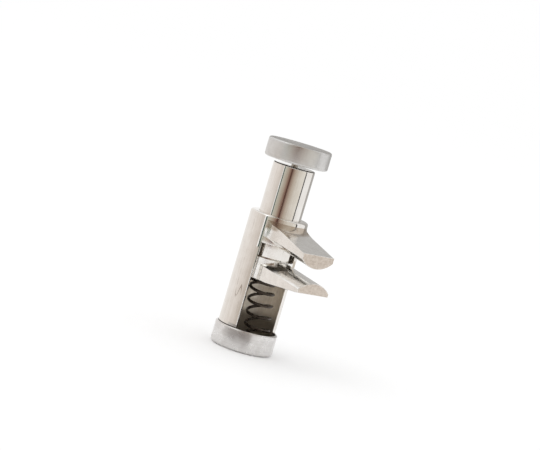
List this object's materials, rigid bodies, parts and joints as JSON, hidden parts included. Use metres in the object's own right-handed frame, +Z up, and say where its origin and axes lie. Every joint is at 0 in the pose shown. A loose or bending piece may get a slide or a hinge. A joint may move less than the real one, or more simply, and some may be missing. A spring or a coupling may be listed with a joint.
{
  "type": "tubing pinch clamp",
  "caption": "Push-button pinch clamp for flexible lab tubing: a sprung plunger in a windowed barrel carries the lower jaw, which squeezes the tube against a fixed upper jaw.",
  "frame": {"origin": "centre of the bottom cap's flat face, on the barrel's axis", "axes": "+Z up along the barrel towards the button; both jaws point along -Y, and a tube crosses them along X"},
  "size_m": [0.0175, 0.03, 0.0575],
  "materials": {
    "nickel_plate": "bright nickel plating, finely scratched",
    "satin_aluminium": "satin, turned and blasted",
    "spring_steel": "dark drawn spring wire",
    "pin_steel": "plain turned steel"
  },
  "bodies": {
    "housing": {"barrel": "nickel_plate", "upper_jaw": "nickel_plate", "bottom_cap": "satin_aluminium", "spring": "spring_steel"},
    "slider": {"plunger": "nickel_plate", "lower_jaw": "nickel_plate", "jaw_pin": "pin_steel", "button": "satin_aluminium", "button_stud": "pin_steel"}
  },
  "joints": [
    {"name": "button_press", "type": "slide", "parent": "housing", "child": "slider", "axis": [0, 0, -1], "range_m": [-0.0032, 0.0117], "stiffness_N_per_m": 2900, "springref_m": -0.0087, "deforming": ["spring"]}
  ]
}
